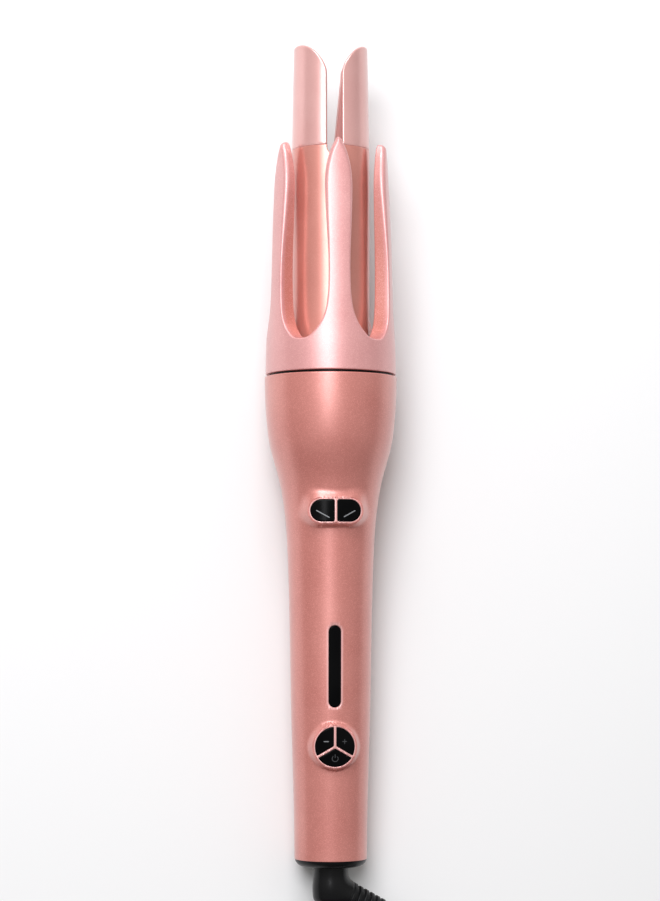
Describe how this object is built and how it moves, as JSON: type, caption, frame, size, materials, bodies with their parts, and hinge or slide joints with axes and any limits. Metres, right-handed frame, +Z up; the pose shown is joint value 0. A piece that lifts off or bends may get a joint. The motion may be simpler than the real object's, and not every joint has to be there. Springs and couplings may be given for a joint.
{
  "type": "automatic hair curler",
  "caption": "Corded automatic hair curler: handle with keys and display, a motor-driven ring of claws round a heated barrel, and a forked tip.",
  "frame": {"origin": "on the table under the middle of the tool without its free cord, midway along its length", "axes": "+Y along the tool towards the forked tip, +Z up, out of the face with the keys, +X to the right seen from above; the tool lies on its back, so its own axis rises 3.7 degrees towards the tip"},
  "size_m": [0.0976, 0.4934, 0.057],
  "materials": {
    "pearl_pink": "satin metallic pearl rose paint",
    "rose_barrel": "satin rose ceramic coat",
    "black_gloss": "polished",
    "black_satin": "satin",
    "cord_black": "matte",
    "pcb": "solder mask",
    "parts_dark": "moulded",
    "steel": "plain",
    "motor_steel": "zinc plated",
    "brass": "turned",
    "bronze": "sintered",
    "aluminium": "extruded",
    "ceramic": "fired",
    "pom_white": "moulded",
    "pps_brown": "moulded"
  },
  "bodies": {
    "body": {"front_shell": "pearl_pink", "rear_shell": "pearl_pink", "shell_screws": "steel", "end_cap": "black_satin", "display_window": "black_gloss", "display_module": "parts_dark", "main_board": "pcb", "tact_switches": "parts_dark", "power_board": "pcb", "power_converter": "parts_dark", "heater_triac": "parts_dark", "filter_capacitor": "aluminium", "buzzer": "parts_dark", "gear_frame": "pps_brown", "nose_housing": "black_satin", "frame_screws": "steel", "dial_bearing": "black_satin", "lay_bush_front": "bronze", "lay_bush_rear": "bronze", "motor_can": "motor_steel", "motor_gearbox": "motor_steel", "barrel_carrier": "pps_brown", "carrier_screws": "steel", "retaining_ring": "pps_brown", "barrel_tube": "rose_barrel", "fork_tip": "rose_barrel", "heat_spreader_front": "aluminium", "heat_spreader_rear": "aluminium", "ptc_heater": "ceramic", "thermistor": "ceramic", "thermal_fuse": "ceramic", "heater_leads": "cord_black", "swivel_socket": "parts_dark", "contact_fingers": "brass", "cord_tube": "cord_black", "cord_coil": "cord_black", "cord_tie": "black_satin", "cord_tail": "cord_black", "plug_body": "black_satin", "plug_blades": "brass"},
    "dial": {"claw_ring": "pearl_pink", "ring_gear": "pom_white"},
    "lay": {"lay_shaft": "steel", "lay_gear": "pom_white", "lay_pinion": "pom_white"},
    "motor_output": {"motor_shaft": "steel", "motor_gear": "pom_white"},
    "left_key": {"key_left": "black_gloss"},
    "right_key": {"key_right": "black_gloss"},
    "minus_key": {"key_minus": "black_gloss"},
    "plus_key": {"key_plus": "black_gloss"},
    "power_key": {"key_power": "black_gloss"},
    "swivel": {"swivel_stub": "black_satin", "swivel_rings": "brass", "strain_relief": "cord_black"}
  },
  "joints": [
    {"name": "dial_spin", "type": "hinge", "parent": "body", "child": "dial", "pos_m": [0, 0.04821, 0.02809], "axis": [0, 0.9979, 0.0645], "continuous": true},
    {"name": "lay_spin", "type": "hinge", "parent": "body", "child": "lay", "pos_m": [0, 0.03448, 0.00797], "axis": [0, 0.9979, 0.0645], "continuous": true},
    {"name": "motor_spin", "type": "hinge", "parent": "body", "child": "motor_output", "pos_m": [0, 0.02574, 0.01903], "axis": [0, 0.9979, 0.0645], "continuous": true},
    {"name": "cord_swivel", "type": "hinge", "parent": "body", "child": "swivel", "pos_m": [0, -0.15836, 0.01474], "axis": [0, -0.9979, -0.0645], "continuous": true},
    {"name": "left_key_press", "type": "slide", "parent": "body", "child": "left_key", "axis": [0, 0.0645, -0.9979], "range_m": [0, 0.0006], "stiffness_N_per_m": 700, "springref_m": -0.0005},
    {"name": "right_key_press", "type": "slide", "parent": "body", "child": "right_key", "axis": [0, 0.0645, -0.9979], "range_m": [0, 0.0006], "stiffness_N_per_m": 700, "springref_m": -0.0005},
    {"name": "minus_key_press", "type": "slide", "parent": "body", "child": "minus_key", "axis": [0, 0.0645, -0.9979], "range_m": [0, 0.0006], "stiffness_N_per_m": 700, "springref_m": -0.0005},
    {"name": "plus_key_press", "type": "slide", "parent": "body", "child": "plus_key", "axis": [0, 0.0645, -0.9979], "range_m": [0, 0.0006], "stiffness_N_per_m": 700, "springref_m": -0.0005},
    {"name": "power_key_press", "type": "slide", "parent": "body", "child": "power_key", "axis": [0, 0.0645, -0.9979], "range_m": [0, 0.0006], "stiffness_N_per_m": 700, "springref_m": -0.0005}
  ],
  "couplings": [
    {"joint": "lay_spin", "follows": "dial_spin", "ratio": 5.8},
    {"joint": "motor_spin", "follows": "dial_spin", "ratio": -3.0526}
  ]
}
